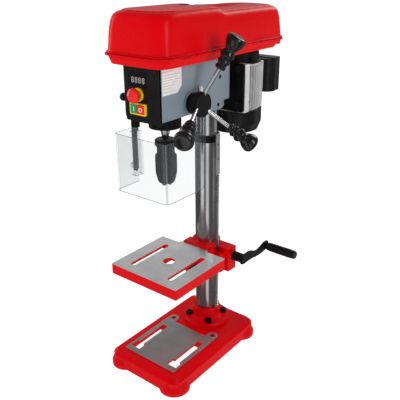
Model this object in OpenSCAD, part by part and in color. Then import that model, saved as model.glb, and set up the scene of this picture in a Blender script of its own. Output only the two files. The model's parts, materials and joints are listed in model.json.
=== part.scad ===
// Bench drill press: round column on a cast base, crank-raised tilting table,
// cast head with a rack-fed quill, keyless chuck, stepless belt drive under a
// hinged cover, and an upright motor behind the column.
// Origin: midway between the two bench-bolt holes, on the bench top.
// +X is the operator's right as seen from behind the machine's left side,
// -Y is the front of the machine, +Z is up.

/* [Base] */
// Width of the base over its skirt
base_w = 187; // [180:1:195]
// Height of the machined base plate above the bench
base_h = 39; // [37:1:41]
// Distance between the two bench-bolt holes
bench_hole_x = 114; // [108:1:118]
// Diameter of the bench-bolt holes
bench_hole_d = 11; // [9:0.5:12]
// Width of the two base slots
base_slot_w = 14; // [12:1:16]

/* [Column] */
// Outside diameter of the column tube
col_d = 48; // [48:0.5:48]
// Wall of the column tube
col_wall = 3.5; // [2.5:0.5:5]
// Top end of the column tube
col_top = 640; // [620:1:645]
// Distance from the bench-bolt line back to the column axis
col_y = 52; // [52:1:52]

/* [Table] */
// Width of the table
table_w = 174; // [166:1:180]
// Height of the table's top above the bench
table_z = 244; // [244:1:244]
// Thickness of the table's rim
table_t = 22; // [18:1:22]
// Diameter of the centre hole
table_hole_d = 25; // [20:1:28]
// Width of the two table slots
table_slot_w = 12; // [10:1:13]

/* [Head] */
// Distance from the column axis forward to the spindle axis
throat = 127; // [127:1:127]
// Outside width of the head casting
head_w = 82; // [80:1:84]
// Diameter of the quill
quill_d = 40; // [40:1:40]
// Height of the feed shaft above the bench
feed_z = 578; // [576:1:580]

/* [Drive] */
// Distance from the column axis back to the motor axis
motor_y = 103; // [103:1:103]
// Outside diameter over the motor's cooling fins
motor_d = 114; // [110:1:116]

/* [Guard] */
// Outside width of the clear guard
guard_w = 132; // [128:1:134]
// Thickness of the clear guard
guard_t = 3; // [2:0.5:3.5]

/* [Hidden] */
$fn = 64;

e = 0.02;
red = [0.84, 0.02, 0.08];
steel = [0.68, 0.68, 0.68];
black = [0.08, 0.08, 0.09];
greyblue = [0.56, 0.61, 0.64];

// everything below is laid out about the column axis, then moved back to the origin
module F() { translate([0, col_y, 0]) children(); }
// vertical cylinder from z0 to z1 at x, y
module vc(x, y, z0, z1, r) { translate([x, y, z0]) cylinder(h = z1 - z0, r = r); }
// cylinder along X from x0 to x1
module xc(x0, x1, y, z, r) { translate([x0, y, z]) rotate([0, 90, 0]) cylinder(h = x1 - x0, r = r); }
// cylinder along Y from y0 to y1
module yc(x, y0, y1, z, r) { translate([x, y1, z]) rotate([90, 0, 0]) cylinder(h = y1 - y0, r = r); }
// box from corner to corner
module bx(x0, x1, y0, y1, z0, z1) { translate([x0, y0, z0]) cube([x1 - x0, y1 - y0, z1 - z0]); }
// rounded rectangle outline
module rr(x0, x1, y0, y1, r) {
  translate([x0 + r, y0]) square([x1 - x0 - 2 * r, y1 - y0]);
  translate([x0, y0 + r]) square([x1 - x0, y1 - y0 - 2 * r]);
  for (x = [x0 + r, x1 - r], y = [y0 + r, y1 - r]) translate([x, y]) circle(r);
}
module slab(x0, x1, y0, y1, r, z0, z1) { translate([0, 0, z0]) linear_extrude(z1 - z0) rr(x0, x1, y0, y1, r); }
// hexagonal prism, across flats af
module hex(af, h) { cylinder(h = h, r = af / sqrt(3), $fn = 6); }
// outline of a spur gear: n teeth, pitch radius rp, addendum a, dedendum d
function gear_pts(n, rp, a, d, k = 1) = [for (i = [0:n - 1]) for (j = [0:3])
  let (w = 360 / n, an = (j == 0 ? -0.31 : j == 1 ? -0.12 : j == 2 ? 0.12 : 0.31) * w * k,
       r = (j == 0 || j == 3) ? rp - d : rp + a)
  [r * cos(i * w + an), r * sin(i * w + an)]];

// ---------------------------------------------------------------- base
bench_y = -col_y;
base_y0 = -223.5;
base_y1 = 67.5;
foot_r = 32;
module base_slot(s) {
  translate([s * 52, 0, -1]) {
    linear_extrude(60) rr(-base_slot_w / 2, base_slot_w / 2, -187, -88, 2);
    linear_extrude(60) rr(-12, 12, -187, -168, 2);
  }
}
module base() { color(red) F() difference() {
  union() {
    difference() {
      union() {
        hull() {
          slab(-base_w / 2, base_w / 2, base_y0, base_y1, 20, 3, 29, $fn = 32);
          slab(-base_w / 2 + 8, base_w / 2 - 8, base_y0 + 8, base_y1 - 8, 13, 36, base_h - 2, $fn = 32);
        }
        for (x = [-1, 1], y = [-197.5, 41.5]) {
          vc(x * 68.9, y, 0, 9, foot_r);
          translate([x * 68.9, y, 9]) cylinder(h = 14, r1 = foot_r, r2 = 25);
        }
      }
      slab(-base_w / 2 + 8, base_w / 2 - 8, base_y0 + 8, base_y1 - 8, 14, -1, base_h - 4.5);
    }
    // machined pad with two ears
    translate([0, 0, base_h - 3]) linear_extrude(3) {
      rr(-69.6, 69.6, -201, -63, 3);
      for (x = [-1, 1]) translate([x * bench_hole_x / 2, bench_y]) circle(12);
      for (x = [-1, 1]) translate([x * bench_hole_x / 2 - 12, -70]) square([24, 70 + bench_y]);
    }
    // bosses under the bench-bolt holes and the column seat
    for (x = [-1, 1]) vc(x * bench_hole_x / 2, bench_y, 0, base_h - 3, 12);
    vc(0, 0, base_h - 14, base_h - 2, 54);
    for (a = [45:90:315]) vc(40 * cos(a), 40 * sin(a), base_h - 22, base_h - 8, 9);
    // stiffening rib across the underside
    bx(-base_w / 2 + 7, base_w / 2 - 7, -71, -66, 4, base_h - 3.5);
  }
  for (s = [-1, 1]) base_slot(s);
  for (x = [-1, 1]) vc(x * bench_hole_x / 2, bench_y, -1, base_h + 1, bench_hole_d / 2);
  for (a = [45:90:315]) vc(40 * cos(a), 40 * sin(a), base_h - 24, base_h, 4.05);
} }

flange_z = base_h - 2;
module column_flange() { color(red) F() difference() {
  union() {
    translate([0, 0, flange_z]) rotate_extrude() polygon([[0, 0], [52.3, 0], [52.3, 9], [50.5, 11.5],
      [37, 13], [33.4, 15.5], [32, 20], [31.6, 37.5], [30.4, 39.5], [0, 39.5]]);
    for (a = [45:90:315]) vc(40 * cos(a), 40 * sin(a), flange_z + 8, flange_z + 13.4, 9);
  }
  vc(0, 0, flange_z + 8, flange_z + 60, col_d / 2 + 0.03);
  for (a = [45:90:315]) vc(40 * cos(a), 40 * sin(a), flange_z - 1, flange_z + 40, 4.05);
  xc(20, 40, 0, flange_z + 30, 3.2);
} }
module flange_bolts() { color([0.3, 0.3, 0.31]) F() for (a = [45:90:315])
  translate([40 * cos(a), 40 * sin(a), 0]) union() {
    vc(0, 0, base_h - 20, flange_z + 14, 4);
    vc(0, 0, flange_z + 13.4, flange_z + 15, 7.8);
    translate([0, 0, flange_z + 15]) difference() { rotate(a + 15) hex(13, 6.5); translate([0, 0, 3]) rotate(20) hex(6, 5); }
  }
}
module column() { color([0.8, 0.8, 0.82]) F() difference() {
  vc(0, 0, flange_z + 8, col_top, col_d / 2);
  vc(0, 0, 0, col_top + 1, col_d / 2 - col_wall);
} }

// ---------------------------------------------------------------- rack
rk_m = 1.5;
rk_p = PI * rk_m;
rk_tip = 31;
gear_x = rk_tip - rk_m + 7.5;   // lift gear axis
gear_z = 200;
rack_z0 = flange_z + 40;
rack_z1 = 494;
function rack_pts() = concat([[20, rack_z0], [rk_tip, rack_z0]],
  [for (i = [-25:43]) for (j = [0:3]) let (zc = gear_z + i * rk_p)
    [(j == 0 || j == 3) ? rk_tip : rk_tip - 3.6, zc + (j == 0 ? -1.75 : j == 1 ? -0.62 : j == 2 ? 0.62 : 1.75)]],
  [[rk_tip, rack_z1 - 2], [rk_tip - 2, rack_z1], [20, rack_z1]]);
module rack() { color([0.72, 0.73, 0.72]) F() difference() {
  rotate([90, 0, 0]) translate([0, 0, -6.5]) linear_extrude(13) polygon(rack_pts());
  vc(0, 0, 0, 600, col_d / 2 + 0.12);
  for (z = [440, 470]) xc(20, 40, 0, z, 2.1);
} }
module rack_collar() { color(black) F() union() {
  difference() {
    vc(0, 0, 476, 490, 28);
    vc(0, 0, 470, 500, col_d / 2 + 0.12);
    bx(18, 40, -6.6, 6.6, 470, 500);
  }
} }

// ---------------------------------------------------------------- table and bracket
tilt_z = 207;
module table_bracket() { color(red) F() difference() {
  union() {
    // split collar on the column
    vc(0, 0, 176, 248, 31);
    // ears of the clamp at the rear left
    bx(-30, -8, 22, 44, 180, 240);
    // front flange that carries the table
    yc(0, -40.5, -18, tilt_z, 33);
    bx(-33, 33, -40.5, -16, tilt_z, 247);
    // gear housing on the right
    difference() {
      union() { bx(10, 60, 2.5, 30, 180, 235); bx(18, 50, -14, 30, 182, 226); xc(58, 64, 16, 217, 12); }
      xc(30, 55, 16, 217, 9.4);
      yc(gear_x, -10, 25, gear_z, 12.5);
      bx(22, gear_x, -8, 8, gear_z - 11, gear_z + 11);
    }
    xc(10, 36, -28, 238, 7);
  }
  vc(0, 0, 0, 400, col_d / 2 + 0.06);
  // channel that clears the rack
  bx(10, rk_tip + 0.5, -7.2, 7.2, 100, 400);
  // pockets for the worm and its wheel run on into the collar
  xc(28.5, 55, 16, 217, 9.4);
  yc(gear_x, 8.5, 25, gear_z, 11.4);
  // worm bore, gear shaft bore, clamp split and clamp bolt bore
  xc(50, 70, 16, 217, 6.04);
  xc(20, 34, 16, 217, 4.04);
  yc(gear_x, -16, 31, gear_z, 4.04);
  bx(-21, -17, 20, 60, 100, 400);
  xc(-40, 0, 34, 210, 4.06);
  yc(0, -60, -20, tilt_z, 7.06);
  vc(0, 0, 176 - 1, 400, col_d / 2 + 0.06);
} }
module tilt_bolt() { color([0.35, 0.35, 0.36]) F() difference() {
  union() {
    yc(0, -56, -25.4, tilt_z, 7);
    yc(0, -54.6, -52.3, tilt_z, 13);
    translate([0, -54.5, tilt_z]) rotate([90, 0, 0]) hex(22, 9);
  }
} }
table_y0 = -207.6;
table_y1 = -49;
module table() { color([0.66, 0.66, 0.66]) F() difference() {
  union() {
    difference() {
      union() {
        translate([0, 0, table_z - table_t]) linear_extrude(table_t) {
          rr(-table_w / 2, table_w / 2, table_y0, table_y1, 3);
          rr(-38.5, 38.5, -80, -41, 6);
        }
      }
      // cast recess underneath
      slab(-table_w / 2 + 7, table_w / 2 - 7, table_y0 + 7, table_y1 - 7, 8, table_z - table_t - 1, table_z - 5.5);
      bx(-30, 30, -70, -48, table_z - table_t - 1, table_z - 10);
    }
    // rear flange, web and boss round the centre hole
    yc(0, -52, -41, tilt_z, 33);
    bx(-33, 33, -52, -41, tilt_z, table_z - 9);
    for (x = [-24, 24]) bx(x - 2.5, x + 2.5, -204, -50, table_z - 20, table_z - 5);
    for (y = [-195, -62]) bx(-84, 84, y - 2.5, y + 2.5, table_z - 20, table_z - 5);
  }
  vc(0, -throat, 200, 260, table_hole_d / 2);
  for (s = [-1, 1]) translate([0, 0, 200]) linear_extrude(60)
    rr(s * 50 - table_slot_w / 2, s * 50 + table_slot_w / 2, -185, -74, table_slot_w / 2 - 0.5);
  yc(0, -60, -40, tilt_z, 7.06);
} }
module lift_gear() { color([0.6, 0.6, 0.62]) F() translate([gear_x, 0, gear_z]) rotate([90, 0, 0]) union() {
  translate([0, 0, -6.4]) rotate(180) linear_extrude(12.8) polygon(gear_pts(10, 7.5, 1.4, 1.6));
  translate([0, 0, -22]) linear_extrude(12) polygon(gear_pts(16, 8.7, 0.7, 1.1, 0.9));
  translate([0, 0, -30]) cylinder(h = 44, r = 4);
  translate([0, 0, -11]) cylinder(h = 6, r = 5.9);
} }
// ---------------------------------------------------------------- crank
module worm_shaft() { color([0.6, 0.6, 0.62]) F() translate([0, 16, 217]) rotate([0, 90, 0]) union() {
  translate([0, 0, 22]) cylinder(h = 34, r = 4);
  rotate_extrude() polygon(concat([[0, 29], [5.3, 29]],
    [for (i = [0:4]) for (j = [0:3]) [(j == 0 || j == 3) ? 5.3 : 7.4, 31.1 + i * 3.93 + [-1.2, -0.4, 0.4, 1.2][j]]],
    [[5.3, 52], [0, 52]]));
  translate([0, 0, 49]) cylinder(h = 30, r = 6);
} }
crank_r = 88;
crank_x = 88;
crank_dz = -3;
arm_pts = [[-9.5, -9], [-9.5, 8], [-6, 10], [8, 9.9], [20, 10], [32, 7], [44, 1], [54, -1], [66, 1.4], [76, 4.6], [82, 6.6],
  [96, 6.6], [96, -11.4], [80, -11.4], [72, -12.5], [58, -13.2], [44, -12.2], [30, -9.8], [16, -9.4], [2, -10]];
module crank_arm() { color(black) F() difference() {
  union() {
    translate([0, 16, 217]) rotate([0, 90, 0]) translate([0, 0, 64.3]) rotate(15) cylinder(h = crank_x + 6.5 - 64.3, r = 10.6, $fn = 12);
    translate([crank_x, 16, 217]) rotate([90, 0, 90]) linear_extrude(6.5) polygon(arm_pts);
    // fixed pin for the handle
    xc(crank_x + 4, 167, 16 + crank_r, 217 + crank_dz, 4);
    xc(crank_x + 4, crank_x + 9.5, 16 + crank_r, 217 + crank_dz, 6.4);
  }
  xc(60, 79.2, 16, 217, 6.04);
} }
module crank_handle() { color(black) F() translate([0, 16 + crank_r, 217 + crank_dz]) rotate([0, 90, 0]) difference() {
  translate([0, 0, crank_x + 10]) rotate_extrude() polygon([[0, 0], [7.6, 0], [9, 1.6], [9.6, 6], [9.9, 30], [9.9, 58], [9.4, 67],
    [8.8, 70.6], [7.4, 72.4], [0, 72.4]]);
  translate([0, 0, 80]) cylinder(h = 87.3, r = 4.06);
} }
module lock_lever() { color(black) F() translate([0, 34, 210]) rotate([0, 90, 0]) union() {
  translate([0, 0, -44]) cylinder(h = 35, r = 4);
  translate([0, 0, -46]) cylinder(h = 15.7, r = 9);
  rotate([0, 0, 25]) translate([0, 0, -40]) rotate([0, 104, 0]) cylinder(h = 62, r = 3.6);
  rotate([0, 0, 25]) translate([0, 0, -40]) rotate([0, 104, 0]) translate([0, 0, 66]) sphere(8);
} }

// ---------------------------------------------------------------- head
hx = head_w / 2;
sy = -throat;
fy = sy + 27.5;                  // feed shaft axis
head_top = 653;
module head() { color(greyblue) F() difference() {
  union() {
    difference() {
      // outer casting
      rotate([90, 0, 90]) translate([0, 0, -hx]) linear_extrude(2 * hx) polygon([[-184, 556], [-90, 556], [-72, 549],
        [-3, 549], [-1, 551], [-1, 565], [20, 565], [22, 567], [22, head_top], [-184, head_top]]);
      // inside of the casting
      bx(-hx + 6, hx - 6, -200, 14, 500, head_top - 6);
    }
    // column boss, quill boss and feed-shaft boss
    vc(0, 0, 549, head_top - 3, 36);
    vc(0, sy, 531.5, head_top - 3, 27);
    xc(-hx, hx, fy, feed_z, 16);
    bx(-5, 5, sy, 0, 590, head_top - 3);
    // round facing pads outside, right and left
    xc(hx - 1, hx + 3, fy, feed_z, 21.5);
    xc(-hx - 3, -hx + 1, fy, feed_z, 24);
    // bearing housing standing up into the belt tray
    vc(0, sy, head_top - 4, 673, 24);
    // pads that carry the motor plate
    for (z = [566, 612]) bx(-30, 30, 20, 36.2, z - 6, z + 14);
  }
  vc(0, 0, 540, col_top + 1, col_d / 2 + 0.03);
  vc(0, sy, 520, 648, quill_d / 2 + 0.04);
  vc(0, sy, 640, 680, 11);
  vc(0, sy, 652, 680, 16.01);
  xc(-60, 60, fy, feed_z, 10.06);
  xc(-hx - 5, -hx + 8, lev_y, lev_z, 5.06);
  // clamp screw holes
  xc(20, 50, -9, 612, 4.06);
  xc(20, 50, -14, 558, 4.06);
} }
module head_screws() { color([0.2, 0.2, 0.21]) F() for (p = [[-9, 612], [-14, 558]]) difference() {
  xc(24.2, hx - 1.5, p[0], p[1], 4);
  translate([hx - 5, p[0], p[1]]) rotate([0, 90, 0]) hex(4, 8);
} }
module rating_plate() { color([0.88, 0.88, 0.88]) F() translate([hx, 0, 0]) rotate([90, 0, 90]) linear_extrude(0.6)
  polygon([[-178, 603], [-138, 603], [-126, 615], [-126, 648], [-178, 648]]); }
module depth_pointer() { color([0.9, 0.9, 0.88]) F() difference() {
  union() {
    translate([hx + 3, 0, 0]) rotate([90, 0, 90]) linear_extrude(1.6) polygon([[-79.4, 597], [-79.4, 605], [-72, 605],
      [-70, 600], [-70, 582], [-76.4, 575], [-78.6, 582]]);
    xc(hx - 4, hx + 3.1, -75, 600, 2.6);
    translate([hx + 4.5, -75, 600]) rotate([0, 90, 0]) cylinder(h = 2, r = 3.8);
  }
  translate([hx + 5.6, -79, 599.5]) cube([3, 8, 1]);
} }
// left-hand cap with the flat coil spring that lifts the quill
module spring_cap() { color(black) F() difference() {
  xc(-hx - 21, -hx - 3, fy, feed_z, 25);
  xc(-hx - 19, -hx - 2, fy, feed_z, 23);
  xc(-hx - 22, -hx - 18, fy, feed_z, 6.5);
} }
spring_pts = [for (i = [0:90]) let (a = i * 16, r = 11.6 + i * 0.115) [r * cos(a), r * sin(a)]];
module return_spring() { color([0.5, 0.5, 0.52]) F() translate([-hx - 16, fy, feed_z]) rotate([0, 90, 0])
  linear_extrude(10) polygon(concat(spring_pts, [for (i = [90:-1:0]) spring_pts[i] * (1 - 0.5 / (11.6 + i * 0.115))])); }

// ---------------------------------------------------------------- quill, spindle and chuck
q_m = 1.25;
q_p = PI * q_m;
module quill() { color([0.75, 0.75, 0.77]) F() difference() {
  vc(0, sy, 533, 643, quill_d / 2);
  translate([0, sy + 17.0, 0]) rotate([90, 0, 90]) translate([0, 0, -10]) linear_extrude(20)
    polygon(concat([[5, 566.5], [1.6, 566.5]], [for (i = [-2:16]) for (j = [0:3]) let (zc = feed_z + i * q_p)
      [(j == 0 || j == 3) ? 2.8 : 0, zc + (j == 0 ? -1.45 : j == 1 ? -0.5 : j == 2 ? 0.5 : 1.45)]], [[2.8, 646], [5, 646]]));
  vc(0, sy, 500, 700, 9.5);
  vc(0, sy, 532, 546, 16.01);
  vc(0, sy, 630, 644, 16.01);
} }
module bearing(x, y, z0, h, ri, ro) { difference() {
  vc(x, y, z0, z0 + h, ro);
  vc(x, y, z0 - 1, z0 + h + 1, ri);
  translate([x, y, z0 + h]) rotate_extrude() translate([(ri + ro) / 2, 0]) square([(ro - ri) * 0.42, 1.4], center = true);
  translate([x, y, z0]) rotate_extrude() translate([(ri + ro) / 2, 0]) square([(ro - ri) * 0.42, 1.4], center = true);
} }
module quill_bearings() { color([0.6, 0.6, 0.63]) F() { bearing(0, sy, 534, 11.5, 7.54, 16); bearing(0, sy, 631, 11.5, 7.54, 16); } }
module pulley_bearings() { color([0.6, 0.6, 0.63]) F() bearing(0, sy, 653, 19, 10.54, 16); }
module spindle() { color([0.8, 0.8, 0.82]) F() translate([0, sy, 0]) union() {
  rotate_extrude() polygon([[0, 486], [5.4, 486], [5.5, 508], [8.6, 521], [9.1, 524], [9.1, 531], [8, 533], [7.5, 533.5],
    [7.5, 643.4], [6.9, 644], [6.9, 711], [6, 712], [0, 712]]);
} }
jaw_a = 14;                       // jaw slope from the axis
module jaw(k) { color([0.45, 0.45, 0.47]) F() translate([0, sy, 0]) rotate(k * 120 + 30) intersection() {
  difference() {
    translate([8.2, 0, 420]) rotate([0, jaw_a, 0]) translate([0, 0, -4]) cylinder(h = 40, r = 4.4);
    translate([0, 0, 400]) cylinder(h = 70, r = 5);
  }
  translate([0, 0, 414.5]) cylinder(h = 50, r = 40);
  rotate_extrude() polygon([[0, 400], [9.6, 400], [9.6, 417.6], [11.4, 423.5], [13.4, 430.5], [13.6, 448], [0, 448]]);
} }
module jaw_1() { jaw(0); }
module jaw_2() { jaw(1); }
module jaw_3() { jaw(2); }
module chuck_body() { color([0.14, 0.14, 0.15]) F() translate([0, sy, 0]) difference() {
  union() {
    rotate_extrude() polygon([[0, 508], [18.6, 508], [19.6, 507], [19.6, 495.2], [17.4, 494], [17.1, 484], [17.4, 478.2],
      [16.5, 477.4], [16.5, 440], [0, 440]]);
    // knurled ring
    translate([0, 0, 496.5]) linear_extrude(9.5) difference() {
      circle(20.8);
      for (a = [0:15:345]) rotate(a) translate([21.5, 0]) circle(1.3, $fn = 12);
    }
  }
  vc(0, 0, 480, 520, 5.56);
  vc(0, 0, 430, 474, 10.5);
  for (k = [0:2]) rotate(k * 120 + 30) translate([8.2, 0, 420]) rotate([0, jaw_a, 0]) cylinder(h = 44, r = 4.75);
} }
module chuck_sleeve() { color([0.1, 0.1, 0.11]) F() translate([0, sy, 0]) difference() {
  rotate_extrude() polygon([[0, 477], [20, 477], [21, 475.6], [21, 445], [20.8, 441.5], [20.1, 437.5], [18.8, 432], [16.8, 425], [15.8, 422.4], [14.2, 420.8], [0, 420.8]]);
  rotate_extrude() polygon([[0, 478], [16.8, 478], [16.8, 438.6], [12.6, 426], [11.0, 420], [11.0, 417], [0, 417]]);
  for (a = [0:15:345]) rotate(a) translate([21.9, 0, 442]) cylinder(h = 32, r = 1.5, $fn = 8);
} }

// ---------------------------------------------------------------- feed hub and spokes
module feed_pinion() { color([0.6, 0.6, 0.62]) F() translate([0, fy, feed_z]) rotate([0, 90, 0]) union() {
  translate([0, 0, -hx - 1.5]) cylinder(h = hx - 9, r = 10);
  translate([0, 0, -12]) cylinder(h = 24, r = 6.8);
  translate([0, 0, -9.6]) rotate(90) linear_extrude(19.2) polygon(gear_pts(14, 8.75, 1.15, 1.45, 0.94));
  translate([0, 0, 10.5]) cylinder(h = hx - 7.2, r = 10);
  translate([0, 0, hx - 1]) cylinder(h = 26, r = 7);
  translate([0, 0, -hx - 18]) cylinder(h = 22, r = 6);
  translate([0, 0, -hx - 16.5]) cylinder(h = 12, r = 10.8);
} }
hub_x0 = hx + 14;
hub_x1 = 72;
module feed_hub() { color([0.18, 0.18, 0.19]) F() difference() {
  translate([0, fy, feed_z]) rotate([0, 90, 0]) rotate_extrude() polygon([[0, hub_x0], [19, hub_x0], [22.4, hub_x0 + 1.6], [23.4, hub_x0 + 4],
    [23.4, hub_x1 - 3], [22.6, hub_x1 - 0.8], [21.4, hub_x1], [0, hub_x1]]);
  xc(hub_x0 - 1, 66.2, fy, feed_z, 7.04);
  for (k = [0:2]) spoke_at(k) translate([0, 0, 15]) cylinder(h = 40, r = 4.06);
} }
spoke_x = 59;
module spoke_at(k) { translate([spoke_x, fy, feed_z]) rotate([75.3 - 90 - k * 120, 0, 0]) rotate([0, 90 - 63.5, 0]) children(); }
module feed_spokes() { color([0.85, 0.85, 0.87]) F() for (k = [0:2]) spoke_at(k) translate([0, 0, 15.2]) cylinder(h = 110, r = 4); }
grip_pts = [[0, 76], [8.4, 76], [9.6, 77.5], [10, 80], [9.2, 83], [10.6, 86], [12.4, 89], [11.4, 92.5], [12.6, 95.5], [14.4, 99],
  [12.8, 103], [14, 106], [15.8, 110], [13.8, 114.5], [14.4, 119], [16, 126], [17.4, 132], [18, 136], [17.6, 139], [16, 140.6], [0, 140.6]];
module feed_grips() { color(black) F() for (k = [0:2]) spoke_at(k) difference() {
  rotate_extrude() polygon(grip_pts);
  translate([0, 0, 70]) cylinder(h = 55.3, r = 4.02);
} }
module depth_ring() { color([0.1, 0.1, 0.11]) F() difference() {
  translate([0, fy, feed_z]) rotate([0, 90, 0]) rotate_extrude() polygon([[0, hx + 3.6], [18.4, hx + 3.6], [19.4, hx + 4.6],
    [19.4, hub_x0 - 1], [18.8, hub_x0 - 0.3], [0, hub_x0 - 0.3]]);
  xc(hx, hub_x0 + 1, fy, feed_z, 7.1);
} }

// lever on the left of the head that opens the motor sheave
lev_y = -150;
lev_z = 597;
module speed_lever() { color(black) F() union() {
  xc(-hx - 7, -hx - 0.6, lev_y, lev_z, 10);
  xc(-hx - 1, -hx + 9, lev_y, lev_z, 5);
  translate([-hx - 5, lev_y, lev_z]) rotate([0, 0, -14]) rotate([90 + 13, 0, 0]) cylinder(h = 26, r1 = 4.4, r2 = 3.2);
  translate([-hx - 5, lev_y, lev_z]) rotate([0, 0, -14]) rotate([90 + 13, 0, 0]) translate([0, 0, 30]) sphere(7.7);
} }

// ---------------------------------------------------------------- control panel
py = -187.5;
es_x = -6;
es_z = 602;
module control_panel() { color(black) F() difference() {
  union() {
    // face with a chin that slopes back under the switches
    rotate([90, 0, 90]) translate([0, 0, -hx]) linear_extrude(2 * hx) polygon([[py, 562], [-184, 551], [-180, 551], [-180, 650],
      [py + 1.5, 651.5], [py, 650]]);
    difference() { bx(-hx + 6.4, hx - 6.4, -181, -159, 563, 645); bx(-hx + 9.4, hx - 9.4, -179.9, -162, 566, 642); }
    bx(17, hx, py - 0.8, py + 1, 556, 650);
  }
  // openings for the display, stop button and switch buttons
  bx(-30.2, 16.2, -190, py + 2.02, 614.8, 642.2);
  bx(-26, 12, -190, -170, 619, 637);
  yc(es_x, -200, -150, es_z, 8.2);
  bx(-24, 11.6, -200, -150, 567, 585.8);
} }
module display_window() { color([0.05, 0.05, 0.06]) F() bx(-30, 16, py + 0.2, py + 2, 615, 642); }
module estop_collar() { color([0.95, 0.7, 0.1]) F() difference() {
  translate([es_x, py, es_z]) rotate([90, 0, 0]) rotate_extrude() polygon([[0, 0], [12, 0], [12, 4.2], [11.2, 5], [0, 5]]);
  yc(es_x, -200, -150, es_z, 7.6);
} }
module estop_button() { color([0.9, 0.12, 0.08]) F() translate([es_x, 0, es_z]) rotate([90, 0, 0]) union() {
  translate([0, 0, 166]) cylinder(h = 33, r = 7.2);
  translate([0, 0, 197]) rotate_extrude() polygon([[0, 0], [10.5, 0], [13, 1.2], [13.6, 3.4], [13.2, 6], [11.8, 8], [9.6, 9.4], [6.4, 10.6], [3, 11.2], [0, 11.4]]);
} }
module switch_frame() { color([0.98, 0.86, 0.1]) F() difference() {
  union() {
    translate([0, py, 0]) rotate([90, 0, 0]) linear_extrude(4.5) rr(-25.1, 12.7, 565.9, 586.9, 2.2);
    bx(-23.6, 11.2, py - 0.1, -163, 567.4, 585.4);
  }
  bx(-22.8, -7.0, -200, -166, 568.2, 584.6);
  bx(-5.4, 10.4, -200, -166, 568.2, 584.6);
} }
module start_button() { color([0.05, 0.55, 0.25]) F() difference() {
  bx(-22.4, -7.4, py - 5.6, -172, 568.6, 584.2);
} }
module stop_button() { color([0.8, 0.1, 0.08]) F() difference() {
  bx(-5, 10, py - 6.4, -172, 568.6, 584.2);
} }

// ---------------------------------------------------------------- belt cover
tz0 = 653.5;
tz1 = 671.5;
module belt_tray() { color(red) F() difference() {
  union() {
    difference() {
      hull() { slab(-66, 66, -205, 163, 24, tz0, tz0 + 0.5, $fn = 32); slab(-72, 72, -211, 181, 28, tz1 - 1, tz1, $fn = 32); }
      hull() { slab(-62.5, 62.5, -201.5, 159.5, 22, tz0 + 3, tz0 + 3.5, $fn = 32); slab(-69, 69, -208, 178, 26, tz1, tz1 + 1, $fn = 32); }
    }
    difference() {
      slab(-75.5, 75.5, -214.5, 184.5, 30, tz1 - 3, tz1);
      slab(-70, 70, -209, 179, 27, tz1 - 5, tz1 + 2);
    }
    for (y = [-120, 90]) for (s = [-1, 1]) {
      yc(-79.5, y + s * 11.2 - 2.8, y + s * 11.2 + 2.8, 674.5, 4.5);
      bx(-79.5, -71.5, y + s * 11.2 - 2.8, y + s * 11.2 + 2.8, 668.6, 671.5);
      bx(-84, -77.5, y + s * 11.2 - 2.8, y + s * 11.2 + 2.8, 670.2, 674.5);
    }
  }
  vc(0, sy, 640, 700, 24.2);
  vc(0, motor_y, 640, 700, 30);
  for (x = [-1, 1], y = [-30, -70]) vc(x * 30, y, 640, 700, 2.6);
  for (y = [-140, 140]) bx(73.6, 78, y - 18, y + 18, tz1 - 1.6, tz1 + 1);
  for (y = [-120, 90]) yc(-79.5, y - 20, y + 20, 674.5, 2.06);
} }
module lid_hinge_pins() { color([0.6, 0.6, 0.62]) F() for (y = [-120, 90]) yc(-79.5, y - 14.4, y + 14.4, 674.5, 2); }
lid_w = [71, 66.5, 61, 51, 42];
lid_r = [27, 27, 28, 26, 20];
lid_d = [0, 28, 12, 4, 0.5];
module lid_half(i, ya, yb, zt) { hull() for (k = [0:4]) let (z = k == 0 ? tz1 + 0.2 : zt - lid_d[k] - i)
  slab(-lid_w[k] + i, lid_w[k] - i, ya[k] + i, yb[k] - i, lid_r[k] - i, z, z + 0.5, $fn = 32); }
module lid_form(i) {
  lid_half(i, [-209, -204.5, -199, -187, -177], [50, 30, 0, -25, -41], 746.5);
  lid_half(i, [-209, -204, -190, -160, -150], [181, 178, 175, 167, 157], 738.5);
}
module lid() { color(red) F() difference() {
  union() {
    difference() {
      lid_form(0);
      lid_form(3);
      bx(-100, 100, -300, 300, tz1 - 5, tz1 + 0.3);
    }
    difference() {
      slab(-74, 74, -213, 183, 29, tz1 + 0.3, tz1 + 3);
      slab(-68.6, 68.6, -206.6, 178.6, 25, tz1 - 1, tz1 + 5);
    }
    for (y = [-120, 90]) {
      yc(-79.5, y - 8, y + 8, 674.5, 4.5);
      bx(-79.5, -70.5, y - 8, y + 8, 673.6, 677.4);
    }
  }
  for (y = [-120, 90]) yc(-79.5, y - 20, y + 20, 674.5, 2.06);
} }

// ---------------------------------------------------------------- belt drive
belt_z = 694;
ra = 28;                            // belt radius on the motor sheave at rest
rb = 44;                            // belt radius on the spindle sheave at rest
module belt_flat(d) { hull() { translate([0, sy]) circle(rb + d); translate([0, motor_y]) circle(ra + d); } }
module drive_belt() { color([0.06, 0.06, 0.06]) F() translate([0, 0, belt_z - 5.6]) linear_extrude(11.2) difference() {
  belt_flat(3, $fn = 96);
  belt_flat(-4, $fn = 96);
} }
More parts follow.
